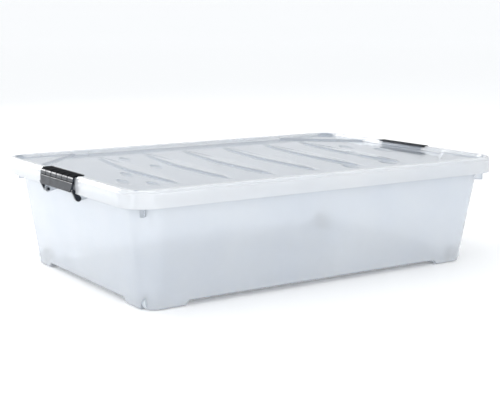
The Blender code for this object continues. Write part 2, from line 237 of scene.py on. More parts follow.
@dataclass(frozen=True)
class Track:
    """Closed rounded rectangle, anticlockwise seen from above.

    A point is its straight fraction times (half size minus radius), plus its normal times the radius, so
    the same stations serve every ring of a piece whatever the ring's size and corner radius.
    """

    straight: np.ndarray
    normal: np.ndarray

    def rings(
        self, half_x: np.ndarray, half_y: np.ndarray, radius: np.ndarray, height: np.ndarray
    ) -> np.ndarray:
        """Rings of points, one for each row of sizes.

        Args:
            half_x: Half lengths, of shape (rows, 1) or (rows, stations).
            half_y: Half widths, of the same shape.
            radius: Corner radii, of the same shape.
            height: Heights, of the same shape.

        Returns:
            Points of shape (rows, stations, 3).
        """
        x = self.straight[:, 0] * (half_x - radius) + self.normal[:, 0] * radius
        y = self.straight[:, 1] * (half_y - radius) + self.normal[:, 1] * radius
        return np.stack([x, y, np.broadcast_to(height, x.shape)], axis=-1)

    def climb(self, rows: Sequence[Sequence[float]]) -> np.ndarray:
        """Rings for rows of half length, half width, corner radius and height."""
        return self.rings(*np.split(np.array(rows), 4, axis=1))


@dataclass(frozen=True)
class Plan:
    """Stations that cover a rounded rectangle with columns and rows, and the track round its edge.

    Columns cross the corner arcs at even angles. Rows beyond the corner centres close up towards the ends.
    """

    half_x: float
    half_y: float
    radius: float
    columns_x: np.ndarray
    rows_y: np.ndarray
    arc_steps: int = 12

    def _columns(self) -> tuple[np.ndarray, np.ndarray, np.ndarray]:
        """Straight fraction and the two parts of the normal, for each column on the back edge."""
        turn = np.linspace(0.0, math.pi / 2, self.arc_steps + 1)[:-1]
        inner = self.columns_x / (self.half_x - self.radius)
        ends = np.ones(self.arc_steps)
        fraction = np.concatenate([-ends, inner, ends])
        out = np.concatenate([-np.cos(turn), np.zeros(len(inner)), np.cos(turn)[::-1]])
        back = np.concatenate([np.sin(turn), np.ones(len(inner)), np.sin(turn)[::-1]])
        return fraction, out, back

    def track(self) -> Track:
        """The closed track round the edge."""
        fraction, out, back = self._columns()
        side = self.rows_y[1:-1] / (self.half_y - self.radius)
        one = np.ones(len(fraction))
        level = np.ones(len(side))
        straight = np.concatenate([
            np.stack([fraction, -one], axis=-1), np.stack([level, side], axis=-1),
            np.stack([fraction[::-1], one], axis=-1), np.stack([-level, side[::-1]], axis=-1),
        ])
        normal = np.concatenate([
            np.stack([out, -back], axis=-1), np.stack([level, level * 0.0], axis=-1),
            np.stack([out[::-1], back[::-1]], axis=-1), np.stack([-level, level * 0.0], axis=-1),
        ])
        return Track(straight, normal)

    def points(self, half_x: float, half_y: float, radius: float) -> np.ndarray:
        """Grid of plan points inside a rounded rectangle of the given size.

        Args:
            half_x: Half length.
            half_y: Half width.
            radius: Corner radius.

        Returns:
            Points of shape (rows, columns, 2), whose edge lies on the track's ring of that size.
        """
        fraction, out, back = self._columns()
        x = fraction * (half_x - radius) + out * radius
        straight_y = self.rows_y / (self.half_y - self.radius) * (half_y - radius)
        share = np.linspace(0.0, 1.0, self.arc_steps + 1)[1:, None]
        beyond = (half_y - radius) + share * back * radius
        rows = np.broadcast_to(straight_y[:, None], (len(straight_y), len(x)))
        y = np.concatenate([-beyond[::-1], rows, beyond])
        return np.stack([np.broadcast_to(x, y.shape), y], axis=-1)


def lifted(plan_points: np.ndarray, height: np.ndarray) -> np.ndarray:
    """Plan points with their heights."""
    return np.concatenate([plan_points, height[..., None]], axis=-1)


def drop_outline(centres: np.ndarray, radii: np.ndarray, steps: int) -> np.ndarray:
    """Outline of the tight band round circles: each direction takes the circle that reaches furthest.

    Args:
        centres: Circle centres, of shape (circles, 2).
        radii: Circle radii.
        steps: Points on the outline.

    Returns:
        Points of shape (steps, 2).
    """
    angle = np.linspace(0.0, math.tau, steps, endpoint=False)
    facing = np.stack([np.cos(angle), np.sin(angle)], axis=-1)
    reach = facing @ centres.T + radii
    chosen = np.argmax(reach, axis=1)
    return centres[chosen] + facing * radii[chosen][:, None]


def plate(outline: np.ndarray, low: float, high: float, edge: float) -> np.ndarray:
    """Closed plate across Y: the outline shrinks towards its middle by a quarter round at each face.

    Args:
        outline: Points of shape (n, 2) in X and Z.
        low: Lowest Y.
        high: Highest Y.
        edge: Radius of the rounded edge.

    Returns:
        Rings of shape (rows, n, 3), whose first and last row are a single point.
    """
    middle = outline.mean(axis=0)
    reach = np.linalg.norm(outline - middle, axis=1, keepdims=True)
    turn = np.linspace(0.0, math.pi / 2, 5)
    shrink = edge * (1.0 - np.sin(turn))
    move = edge * (1.0 - np.cos(turn[::-1]))[::-1]
    inset = np.concatenate([shrink, shrink[::-1]])
    y = np.concatenate([low + move[0] - move, high - move[0] + move[::-1]])
    rings = middle + (outline - middle) * (1.0 - inset[:, None, None] / reach)
    tip = np.broadcast_to(middle, rings[:1].shape)
    rings = np.concatenate([tip, rings, tip])
    y = np.concatenate([[low], y, [high]])[:, None]
    return np.stack([rings[..., 0], np.broadcast_to(y, rings.shape[:2]), rings[..., 1]], axis=-1)


def lathe(profile: np.ndarray, centre: Sequence[float], steps: int) -> np.ndarray:
    """Profile turned about a line along Y.

    Args:
        profile: Points of shape (n, 2): radius and distance along Y.
        centre: Point on the line.
        steps: Points round the turn.

    Returns:
        Points of shape (n, steps, 3): centre plus radius times (cosine, 0, sine), moved along Y.
    """
    angle = np.linspace(0.0, math.tau, steps, endpoint=False)
    radius = profile[:, :1]
    x = centre[0] + radius * np.cos(angle)
    z = centre[2] + radius * np.sin(angle)
    y = np.broadcast_to(centre[1] + profile[:, 1:], x.shape)
    return np.stack([x, y, z], axis=-1)


# ---------------------------------------------------------------- finishes


class Bench:
    """A material being made: its nodes, its links and its one shader."""

    def __init__(self, name: str) -> None:
        """Starts a material with a shader and Object coordinates.

        Args:
            name: Name of the material.
        """
        self.material = bpy.data.materials.new(name)
        self.material.use_nodes = True
        self.tree = self.material.node_tree
        self.shader = self.tree.nodes["Principled BSDF"]
        self.place = self.node("ShaderNodeTexCoord").outputs["Object"]

    def node(self, kind: str, **inputs: object) -> bpy.types.Node:
        """Adds a node and sets or links its inputs by name.

        Args:
            kind: Blender's name of the node.
            inputs: Values or sockets, with spaces in the names written as underscores.

        Returns:
            The node.
        """
        made = self.tree.nodes.new(kind)
        for key, value in inputs.items():
            self.feed(made.inputs[key.replace("_", " ")], value)
        return made

    def feed(self, socket: bpy.types.NodeSocket, value: object) -> None:
        """Links an input to a socket, or sets its value.

        Args:
            socket: The input.
            value: A socket or a plain value.
        """
        if isinstance(value, bpy.types.NodeSocket):
            self.tree.links.new(value, socket)
        else:
            socket.default_value = value

    def noise(self, scale: float, detail: float = 3.0, roughness: float = 0.5) -> bpy.types.NodeSocket:
        """Smooth noise on Object coordinates, from 0 to 1."""
        made = self.node(
            "ShaderNodeTexNoise", Vector=self.place, Scale=scale, Detail=detail, Roughness=roughness
        )
        return made.outputs["Fac"]

    def ranged(self, value: bpy.types.NodeSocket, low: float, high: float, to: tuple) -> bpy.types.NodeSocket:
        """Value moved from the range low to high onto another range."""
        made = self.node("ShaderNodeMapRange", From_Min=low, From_Max=high, To_Min=to[0], To_Max=to[1])
        self.tree.links.new(value, made.inputs["Value"])
        return made.outputs["Result"]

    def attribute(self, name: str) -> bpy.types.NodeSocket:
        """Number held by the piece's points."""
        made = self.node("ShaderNodeAttribute")
        made.attribute_name = name
        return made.outputs["Fac"]

    def blend(self, share: bpy.types.NodeSocket, first: object, second: tuple) -> bpy.types.NodeSocket:
        """Colour between two colours, of which the first may be a socket."""
        made = self.tree.nodes.new("ShaderNodeMix")
        made.data_type = "RGBA"
        self.tree.links.new(share, made.inputs["Factor"])
        start, finish = [socket for socket in made.inputs if socket.type == "RGBA"]
        self.feed(start, first if isinstance(first, bpy.types.NodeSocket) else (*first, 1.0))
        finish.default_value = (*second, 1.0)
        return next(socket for socket in made.outputs if socket.type == "RGBA")

    def bump(
        self, height: bpy.types.NodeSocket, distance: float, under: object = None
    ) -> bpy.types.NodeSocket:
        """Bump of a given depth in metres, laid over another."""
        made = self.node("ShaderNodeBump", Strength=1.0, Distance=distance, Height=height)
        if under is not None:
            self.tree.links.new(under, made.inputs["Normal"])
        return made.outputs["Normal"]

    def set(self, **inputs: object) -> None:
        """Sets or links inputs of the shader by name."""
        for key, value in inputs.items():
            self.feed(self.shader.inputs[key.replace("_", " ")], value)


@dataclass(frozen=True)
class FrostedPlastic:
    """Clear polypropylene with a milky body and a finely etched skin.

    Broad clouds of flow shift its tint and gloss a little, and a fine grain breaks up its reflections. Its
    tint is darkened towards a blue-grey as painted shade where the piece's points say so.
    """

    name: str
    tint: tuple[float, float, float]
    milk: tuple[float, float, float]
    clearness: float
    gloss: tuple[float, float]
    # Blue-grey that painted shade pulls the tint towards.
    painted_shade_tint: tuple[float, float, float] = (0.42, 0.48, 0.56)
    grain: float = 900.0
    grain_depth: float = 0.00002
    wave_depth: float = 0.0004

    def make(self) -> bpy.types.Material:
        """Builds the material."""
        bench = Bench(self.name)
        clouds = bench.noise(9.0, 4.0, 0.55)
        grain = bench.noise(self.grain, 2.0)
        waves = bench.noise(14.0, 1.0)
        shade = bench.blend(bench.ranged(clouds, 0.32, 0.68, (0.0, 1.0)), self.tint, self.milk)
        # Painted shade: the tint goes towards the blue-grey as far as the points' painted shade mark says.
        shade = bench.blend(bench.attribute(PAINTED_SHADE), shade, self.painted_shade_tint)
        rough = bench.ranged(clouds, 0.3, 0.7, self.gloss)
        normal = bench.bump(grain, self.grain_depth, bench.bump(waves, self.wave_depth))
        bench.set(Base_Color=shade, Roughness=rough, Normal=normal)
        bench.set(IOR=1.49, Transmission_Weight=self.clearness, Specular_IOR_Level=0.5)
        return bench.material


@dataclass(frozen=True)
class SatinBlack:
    """Black moulded plastic with a fine spark-eroded grain and patches here and there a little polished by
    hands.
    """

    name: str
    dark: tuple[float, float, float] = (0.004, 0.007, 0.013)
    worn: tuple[float, float, float] = (0.011, 0.016, 0.026)
    gloss: tuple[float, float] = (0.24, 0.42)
    grain: float = 1500.0
    grain_depth: float = 0.00004

    def make(self) -> bpy.types.Material:
        """Builds the material."""
        bench = Bench(self.name)
        grain = bench.noise(self.grain, 3.0, 0.6)
        rub = bench.noise(110.0, 5.0, 0.65)
        shade = bench.blend(bench.ranged(rub, 0.42, 0.72, (0.0, 1.0)), self.dark, self.worn)
        rough = bench.ranged(rub, 0.3, 0.75, self.gloss[::-1])
        bench.set(Base_Color=shade, Roughness=rough, Normal=bench.bump(grain, self.grain_depth))
        bench.set(IOR=1.5, Specular_IOR_Level=0.34)
        return bench.material


@dataclass(frozen=True)
class RibbedBlackAndSeamShade:
    """Matt top of the latches, whose ribs are too fine to catch the light, also laid on the seam below the
    nose as painted shade.
    """

    name: str
    dark: tuple[float, float, float] = (0.004, 0.0045, 0.006)
    dusty: tuple[float, float, float] = (0.011, 0.012, 0.014)

    def make(self) -> bpy.types.Material:
        """Builds the material."""
        bench = Bench(self.name)
        ribs = bench.node("ShaderNodeTexWave", Vector=bench.place, Scale=420.0, Distortion=0.4, Detail=2.0)
        ribs.bands_direction = "Y"
        dust = bench.noise(300.0, 4.0, 0.6)
        bench.set(Base_Color=bench.blend(bench.ranged(dust, 0.4, 0.75, (0.0, 1.0)), self.dark, self.dusty))
        bench.set(Roughness=bench.ranged(dust, 0.3, 0.7, (0.72, 0.9)))
        bench.set(Normal=bench.bump(ribs.outputs["Fac"], 0.00006), Specular_IOR_Level=0.08, IOR=1.3)
        return bench.material


@dataclass(frozen=True)
class WheelPlastic:
    """Grey wheel plastic with dust in its grain and a gloss that varies with the dust."""

    name: str
    clean: tuple[float, float, float] = (0.48, 0.53, 0.58)
    dusty: tuple[float, float, float] = (0.58, 0.61, 0.64)
    gloss: tuple[float, float] = (0.42, 0.68)

    def make(self) -> bpy.types.Material:
        """Builds the material."""
        bench = Bench(self.name)
        dust = bench.noise(260.0, 5.0, 0.6)
        grain = bench.noise(1600.0, 2.0)
        shade = bench.blend(bench.ranged(dust, 0.35, 0.7, (0.0, 1.0)), self.clean, self.dusty)
        bench.set(Base_Color=shade, Roughness=bench.ranged(dust, 0.3, 0.7, self.gloss))
        bench.set(Normal=bench.bump(grain, 0.00003), IOR=1.5)
        return bench.material


@dataclass(frozen=True)
class DrawnSteel:
    """Bright drawn wire with fine lines round it."""

    name: str
    colour: tuple[float, float, float] = (0.56, 0.57, 0.58)

    def make(self) -> bpy.types.Material:
        """Builds the material."""
        bench = Bench(self.name)
        lines = bench.node("ShaderNodeTexWave", Vector=bench.place, Scale=900.0, Distortion=1.5, Detail=2.0)
        lines.bands_direction = "Y"
        line = lines.outputs["Fac"]
        dull = tuple(0.7 * part for part in self.colour)
        bench.set(Base_Color=bench.blend(line, dull, self.colour))
        bench.set(Roughness=bench.ranged(line, 0.0, 1.0, (0.2, 0.4)))
        bench.set(Normal=bench.bump(line, 0.00001), Metallic=1.0)
        return bench.material


@dataclass(frozen=True)
class PaleFloor:
    """Plain matt floor with a barely visible tooth, faintly lit from below."""

    name: str
    colour: tuple[float, float, float] = (0.94, 0.945, 0.95)
    glow: float = 0.12

    def make(self) -> bpy.types.Material:
        """Builds the material."""
        bench = Bench(self.name)
        tooth = bench.noise(40.0, 3.0)
        near = tuple(0.985 * part for part in self.colour)
        bench.set(Base_Color=bench.blend(tooth, near, self.colour), Roughness=0.7, Specular_IOR_Level=0.2)
        bench.set(Emission_Color=(1.0, 1.0, 1.0, 1.0), Emission_Strength=self.glow)
        return bench.material


def dress(piece: bpy.types.Object, material: bpy.types.Material, slot: Slot, body: str, *nodes: str) -> None:
    """Gives a piece its finish, puts it on its body and lets it stand for its nodes.

    Args:
        piece: The finished piece.
        material: Its finish.
        slot: The record's slot; not used.
        body: The body that it moves with.
        nodes: Frame nodes that it stands for.
    """
    piece.data.materials.clear()
    piece.data.materials.append(material)
    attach(piece, body)
    if nodes:
        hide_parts(*nodes)
    LOG.info("%s: %d faces on %s", piece.name, len(piece.data.polygons), body)


# ---------------------------------------------------------------- tub


@dataclass
class Tub:
    """The tub: a tapered shell on four corner feet, with a lipped rim, corner webs and latch ears."""

    finish: FrostedPlastic
    foot_bottom: float = 0.0010
    base_bottom: float = 0.0090
    rim_top: float = 0.1835
    base_half: tuple[float, float, float] = (0.3300, 0.2155, 0.0300)
    top_half: tuple[float, float, float] = (0.3532, 0.2455, 0.0440)
    rim_half: tuple[float, float, float] = (0.3675, 0.2510, 0.0440)
    lip_bottom: float = 0.1720
    lip: float = 0.0020
    foot_inner: tuple[float, float] = (0.2630, 0.1510)
    foot_slope: float = 0.0095
    bottom_round: float = 0.0020
    floor_round: float = 0.0035
    web_corner: tuple[float, float] = (0.3354, 0.2269)
    web_bottom: float = 0.1520
    web_reach: float = 0.0155
    web_thick: float = 0.0050
    # Painted shade on the corner webs below the lip: its strength, where it starts past the wall and how far
    # it fades in.
    web_painted_shade: float = 0.55
    web_shade_clear: float = 0.010
    web_shade_fade: float = 0.006
    ear_middle: float = 0.0584
    ear_thick: float = 0.0040
    pivot: tuple[float, float] = PIVOT
    boss_radius: float = BOSS_RADIUS
    wheel_place: tuple[float, float, float] = WHEEL_PLACE
    pocket_radius: float = 0.0138
    pocket_half_width: float = 0.0062
    housing_wall: float = 0.0020

    def underside(self, plan: np.ndarray) -> np.ndarray:
        """Height of the underside: low in the feet, raised by a straight slope where a foot ends."""
        inset = (np.array(self.foot_inner) - np.abs(plan)) / self.foot_slope
        raised = np.clip(inset, 0.0, 1.0).max(axis=-1)
        return self.foot_bottom + raised * (self.base_bottom - self.foot_bottom)

    def section(self, height: np.ndarray, inset: np.ndarray) -> tuple[np.ndarray, np.ndarray, np.ndarray]:
        """Half length, half width and corner radius, which grow evenly with height, less an inset."""
        share = (height - self.foot_bottom) / (self.rim_top - self.foot_bottom)
        sizes = [low + (high - low) * share - inset for low, high in zip(self.base_half, self.top_half)]
        return sizes[0], sizes[1], sizes[2]

    def plan(self) -> Plan:
        """Columns and rows, with one on each line where a foot's slope starts or ends."""
        half_x, half_y, radius = self.base_half
        marks_x = mirrored([self.foot_inner[0], self.foot_inner[0] - self.foot_slope])
        marks_y = mirrored([self.foot_inner[1], self.foot_inner[1] - self.foot_slope])
        columns = stations(-(half_x - radius), half_x - radius, 0.012, marks_x)
        rows = stations(-(half_y - radius), half_y - radius, 0.012, marks_y)
        return Plan(half_x, half_y, radius, columns, rows)

    def walls(self, track: Track, rise: float, inset: float, edge: float, top: float) -> np.ndarray:
        """Rings up one skin of the wall, from a rounded bottom edge that follows the underside.

        Args:
            track: Stations round the tub.
            rise: Height of the skin above the underside.
            inset: Distance of the skin inside the outer one.
            edge: Radius of its bottom edge.
            top: Height of its last ring.

        Returns:
            Rings of points; the first lies on the skin's floor.
        """
        first = track.climb([(*(size - inset - edge for size in self.base_half), 0.0)])
        bottom = self.underside(first[..., :2]) + rise
        first[..., 2] = bottom
        turn = np.linspace(0.0, math.pi / 2, 6)[1:, None]
        height = bottom + edge * (1.0 - np.cos(turn))
        corner = track.rings(*self.section(height, inset + edge * (1.0 - np.sin(turn))), height)
        share = np.linspace(0.0, 1.0, 9)[1:, None]
        start = bottom + edge
        height = start + (top - start) * share
        side = track.rings(*self.section(height, inset), height)
        return np.concatenate([first, corner, side])

    def rim(self, track: Track) -> np.ndarray:
        """Rings from the wall out under the flange, down and round its lip, over its top and into the tub."""
        out_x, out_y, out_r = self.rim_half
        top_x, top_y, top_r = self.top_half
        lip = self.lip
        low, high, under = self.lip_bottom, self.rim_top, self.rim_top - WALL
        rows = [
            (out_x - lip - 0.001, out_y - lip - 0.001, out_r - lip, under),
            grown(self.rim_half, -lip, under - 0.001),
            grown(self.rim_half, -lip, low + 0.0006),
            grown(self.rim_half, -lip / 2, low),
            grown(self.rim_half, 0.0, low + 0.0006),
            grown(self.rim_half, 0.0, high - 0.0012),
            grown(self.rim_half, -0.0004, high - 0.0004),
            grown(self.rim_half, -0.0012, high),
            (top_x - WALL + 0.0012, top_y - WALL + 0.0012, top_r - WALL, high),
            (top_x - WALL + 0.0004, top_y - WALL + 0.0004, top_r - WALL, high - 0.0004),
        ]
        return track.climb(rows)

    def shell(self) -> bpy.types.Object:
        """The closed wall of the tub: both skins, the rim between them and both faces of the floor."""
        plan = self.plan()
        track = plan.track()
        outer = self.walls(track, 0.0, 0.0, self.bottom_round, self.rim_top - WALL)
        inner = self.walls(track, WALL, WALL, self.floor_round, self.rim_top - 0.0012)
        skin = Skin()
        skin.patch(np.concatenate([outer, self.rim(track), inner[::-1]]), around=True)
        for inset, rise in ((self.bottom_round, 0.0), (WALL + self.floor_round, WALL)):
            flat = plan.points(*(size - inset for size in self.base_half))
            skin.patch(lifted(flat, self.underside(flat) + rise))
        return skin.build("tub_shell")

    def outer_block(self) -> bpy.types.Object:
        """The space inside the tub's outer skin, closed at the rim."""
        plan = self.plan()
        skin = Skin()
        skin.patch(self.walls(plan.track(), 0.0, 0.0, self.bottom_round, self.rim_top - WALL), around=True)
        flat = plan.points(*(size - self.bottom_round for size in self.base_half))
        skin.patch(lifted(flat, self.underside(flat)))
        flat = plan.points(*(float(size) for size in self.section(self.rim_top - WALL, 0.0)))
        skin.patch(lifted(flat, np.full(flat.shape[:2], self.rim_top - WALL)))
        return skin.build("tub_space")

    def wheel_arches(self, name: str, grow: float, low: float) -> bpy.types.Object:
        """Arches over the wheels: each is the band round the wheel and two feet below it, carried across.

        Args:
            name: Name of the piece.
            grow: Distance of the arch outside the pocket.
            low: Height of the arch's foot.

        Returns:
            Four closed solids in one piece.
        """
        skin = Skin()
        wheel_x, wheel_y, wheel_z = self.wheel_place
        radius = self.pocket_radius + grow
        half = self.pocket_half_width + grow
        for end in End:
            for side in Side:
                x = end.value * wheel_x
                soft = 0.0005
                centres = np.array([(x, wheel_z), (x - radius + soft, low), (x + radius - soft, low)])
                outline = drop_outline(centres, np.array([radius, soft, soft]), 96)
                middle = side.value * wheel_y
                skin.patch(plate(outline, middle - half, middle + half, 0.0004), around=True)
        return skin.build(name)

    def additions(self) -> bpy.types.Object:
        """Corner webs and latch ears, as closed solids that reach into the wall."""
        skin = Skin()
        for end in End:
            for side in Side:
                self._web(skin, end, side)
                self._ear(skin, end, side)
        return skin.build("tub_additions")

    def _web(self, skin: Skin, end: End, side: Side) -> None:
        """Adds the web that joins a corner to the rim's lip: a plate turned along the corner's diagonal."""
        inner, outer = -2.0 * WALL, self.web_reach
        high = self.rim_top - WALL / 2
        outline = np.array([
            (inner, self.web_bottom + 0.004), (inner + 0.0045, self.web_bottom),
            (outer - 0.001, self.web_bottom), (outer, self.web_bottom + 0.001), (outer, high), (inner, high),
        ])
        rings = plate(outline, -self.web_thick / 2, self.web_thick / 2, 0.0005)
        along = np.array([end.value, side.value]) / math.sqrt(2.0)
        across = np.array([-along[1], along[0]])
        corner = np.array([end.value * self.web_corner[0], side.value * self.web_corner[1]])
        plan = corner + rings[..., :1] * along + rings[..., 1:2] * across
        skin.patch(lifted(plan, rings[..., 2]), around=True)

    def _ear(self, skin: Skin, end: End, side: Side) -> None:
        """Adds an ear at a latch's pin: a band round the boss and points inside the wall and flange."""
        out, height = self.pivot
        high = self.rim_top - WALL - 0.0005
        centres = np.array([(out, height), (0.3500, height), (0.3500, high), (out - 0.0022, high)])
        radii = np.array([self.boss_radius, 0.0012, 0.0012, 0.0012])
        outline = drop_outline(centres, radii, 72) * (end.value, 1.0)
        middle = side.value * self.ear_middle
        half = self.ear_thick / 2
        skin.patch(plate(outline, middle - half, middle + half, 0.0004), around=True)

    def build(self) -> None:
        """Builds and dresses the tub."""
        tub = self.shell()
        combine(tub, self.additions(), Cut.JOIN)
        housings = self.wheel_arches("wheel_housings", self.housing_wall, -0.02)
        combine(housings, self.outer_block(), Cut.KEEP)
        combine(tub, housings, Cut.JOIN)
        combine(tub, self.wheel_arches("wheel_pockets", 0.0, -0.02), Cut.TAKE)
        # Painted shade: the webs below the lip are darkened towards the blue-grey, fading in past the corner
        # of the wall.
        points = vectors(tub.data.vertices, "co")
        past_wall = (np.abs(points[:, :2]) - self.web_corner).sum(axis=1)
        below_lip = points[:, 2] < self.lip_bottom - 0.0005
        store_painted_shade(tub.data, self.web_painted_shade * ease((past_wall - self.web_shade_clear) / self.web_shade_fade) * below_lip)
        dress(tub, self.finish.make(), Slot.CLEAR_TUB, "tub", "tub")


# ---------------------------------------------------------------- lid


@dataclass(frozen=True)
class Leaf:
    """One leaf-shaped rib or dimple of the panel.

    It spans a half length along Y, its width falls off towards both points, and its middle line leans with Y.
    """

    x: float
    y: float
    half_width: float
    half_length: float
    lean: float
    height: float

    def across(self, plan: np.ndarray) -> np.ndarray:
        """Distance across the leaf in half widths, and far outside it beyond its points."""
        along = (plan[..., 1] - self.y) / self.half_length
        width = self.half_width * np.sqrt(np.clip(1.0 - along**2, 1e-4, None)) * (1.0 - 0.35 * np.abs(along))
        across = (plan[..., 0] - self.x - self.lean * along) / width
        return np.where(np.abs(along) < 1.0, across, 9.0)

    def rise(self, plan: np.ndarray) -> np.ndarray:
        """Height of a rib: a steep left flank up to a crest near it, then a long slope to the right."""
        across = self.across(plan)
        along = np.clip(np.abs(plan[..., 1] - self.y) / self.half_length, 0.0, 1.0)
        climb = ease((across + 1.0) / 0.28)
        fall = ease((1.0 - across) / 1.7)
        return self.height * climb * fall * ease((1.0 - along) * 4.0)

    def dip(self, plan: np.ndarray) -> np.ndarray:
        """Depth of a dimple: an even bowl with a soft edge."""
        return self.height * ease((1.0 - np.abs(self.across(plan))) / 0.55)


@dataclass
class Lid:
    """The lid: a deep skirt, a raised rim and a sunk panel with leaf-shaped ribs and corner ledges."""

    finish: FrostedPlastic
    outer_half: tuple[float, float, float] = (0.3725, 0.2560, 0.0470)
    skirt_bottom: float = 0.1660
    top: float = 0.1940
    draft: float = 0.0007
    step_height: float = 0.1885
    step: float = 0.0008
    recess_half: tuple[float, float, float] = (0.3600, 0.2440, 0.0350)
    recess_draft: float = 0.0008
    panel_top: float = 0.1860
    fillet: float = 0.0022
    crest: float = 0.0014
    shoulder: float = 0.0038
    ledge_rise: float = 0.0030
    ledge_leg: float = 0.1300
    ledge_ramp: float = 0.0045
    notch_depth: float = 0.0021
    notch_half: float = 0.0670
    notch_edge: float = 0.0006
    wall_zone: float = 0.0060
    lug_half: float = 0.0014
    lug_height: float = 0.0012
    rib_lean: float = 0.0170
    rib_width: float = 0.0250
    rib_length: float = 0.1880
    rib_height: float = 0.0026
    # Painted shade: its strength over the sunk panel, the clearance from the panel's edge, and its strength
    # on steep rib flanks and on the wall behind a latch.
    panel_painted_shade: float = 0.68
    panel_shade_clear: float = 0.0025
    flank_painted_shade: float = 0.85
    rib_places: tuple[float, ...] = (-0.228, -0.133, -0.048, 0.042, 0.138, 0.226)
    dimple_places: tuple[tuple[float, float], ...] = (
        (-0.185, 0.134), (-0.185, 0.015), (-0.271, -0.043), (-0.312, -0.110), (-0.283, -0.156),
        (0.211, -0.035), (0.187, -0.161), (0.099, -0.167), (0.268, 0.060), (0.300, -0.010),
    )
    lug_places: tuple[float, ...] = (-0.300, -0.205, 0.055, 0.235, 0.262, 0.289)

    def ribs(self) -> list[Leaf]:
        """The ribs across the panel."""
        return [
            Leaf(x, 0.004, self.rib_width, self.rib_length, self.rib_lean, self.rib_height)
            for x in self.rib_places
        ]

    def dimples(self) -> list[Leaf]:
        """The finger-sized dimples between the ribs."""
        return [Leaf(x, y, 0.0125, 0.027, 0.004, 0.0013) for x, y in self.dimple_places]

    def panel(self, plan: np.ndarray) -> np.ndarray:
        """Height of the panel: flat, plus ribs, less dimples, with a ledge across each corner."""
        height = np.full(plan.shape[:-1], self.panel_top)
        for rib in self.ribs():
            height = height + rib.rise(plan)
        for dimple in self.dimples():
            height = height - dimple.dip(plan)
        from_corner = np.array(self.recess_half[:2]) - np.abs(plan)
        beyond = (self.ledge_leg - from_corner.sum(axis=-1)) / self.ledge_ramp
        return height + (self.panel_top + self.ledge_rise - height) * ease(beyond)

    def plan(self) -> Plan:
        """Columns and rows, close together in the corners and over the ribs."""
        half_x, half_y, radius = self.recess_half
        lugs = [x + share * self.lug_half for x in self.lug_places for share in (-1.0, -0.5, 0.0, 0.5, 1.0)]
        columns = stations(-(half_x - radius), half_x - radius, 0.0032, lugs)
        marks = mirrored([self.notch_half + shift for shift in (-self.notch_edge, 0.0, self.notch_edge)])
        rows = stations(-(half_y - radius), half_y - radius, 0.0034, marks)
        return Plan(half_x, half_y, radius, columns, rows, 14)

    def lugs(self, points: np.ndarray) -> np.ndarray:
        """Thickness of the upright lugs on the long inner walls: a row of narrow round bumps along X."""
        near = np.abs(points[..., 0][..., None] - np.array(self.lug_places)).min(axis=-1)
        bump = np.sqrt(np.clip(1.0 - (near / self.lug_half) ** 2, 0.0, None))
        return self.lug_height * bump * (np.abs(points[..., 1]) > self.recess_half[1] - self.wall_zone)

    def crown(self, track: Track, inset: float) -> np.ndarray:
        """Rings from the panel's edge up the inner wall, over the rim and down the skirt.

        Args:
            track: Stations round the lid.
            inset: 0 for the upper skin, or the wall's thickness for the lower one.

        Returns:
            Rings of points; the first lies on the skin's panel.
        """
        in_x, in_y, in_r = self.recess_half
        top = self.top - inset
        floor = self.panel_top - inset
        fillet, crest = self.fillet, self.crest
        shoulder = self.shoulder - inset * 0.4
        turn = np.linspace(0.0, math.pi / 2, 6)
        rows = []
        for angle in turn:
            away = fillet * (1.0 - math.sin(angle)) + self.recess_draft - inset
            rows.append(grown(self.recess_half, -away, floor + fillet * (1.0 - math.cos(angle))))
        wide = self.recess_draft + inset
        for angle in turn:
            away = wide + crest * (1.0 - math.cos(angle))
            rows.append(grown(self.recess_half, away, top - crest * (1.0 - math.sin(angle))))
        edge = self.draft + self.step + inset
        for angle in turn:
            away = edge + shoulder * (1.0 - math.sin(angle))
            drop = 0.8 * shoulder * (1.0 - math.cos(angle))
            rows.append(grown(self.outer_half, -away, top - drop))
        ledge = self.step_height - inset * 0.5
        rows.append(grown(self.outer_half, -edge, ledge + 0.0003))
        edge -= self.step
        rows.append(grown(self.outer_half, -edge, ledge - 0.0003))
        low = self.skirt_bottom
        edge -= self.draft
        rows.append(grown(self.outer_half, -edge, low + 0.0006))
        foot = [size - edge for size in self.outer_half] if inset else self.outer_half
        rows.append(grown(foot, 0.0004 if inset else -0.0004, low))
        rings = track.climb(rows)
        height = rings[..., 2]
        under_panel = self.panel(rings[:1, :, :2]) - self.panel_top
        low_rows = np.arange(len(rows))[:, None] < len(turn)
        fade = np.clip((top - height) / (top - floor), 0.0, 1.0)
        height = np.where(low_rows, height + under_panel * fade, height)
        past_notch = self.notch_half + self.notch_edge - np.abs(rings[..., 1])
        cut = ease(past_notch / (2.0 * self.notch_edge))
        at_end = (np.abs(rings[..., 0]) > in_x - self.wall_zone) & (np.abs(rings[..., 1]) < in_y - in_r)
        ceiling = top - self.notch_depth * cut * at_end
        rings[..., 2] = np.minimum(height, ceiling)
        if not inset:
            number = np.arange(len(rows))[:, None]
            wall_rows = (number > 0) & (number < len(turn) + 2)
            rings[..., 1] -= np.sign(rings[..., 1]) * self.lugs(rings) * wall_rows
        return rings

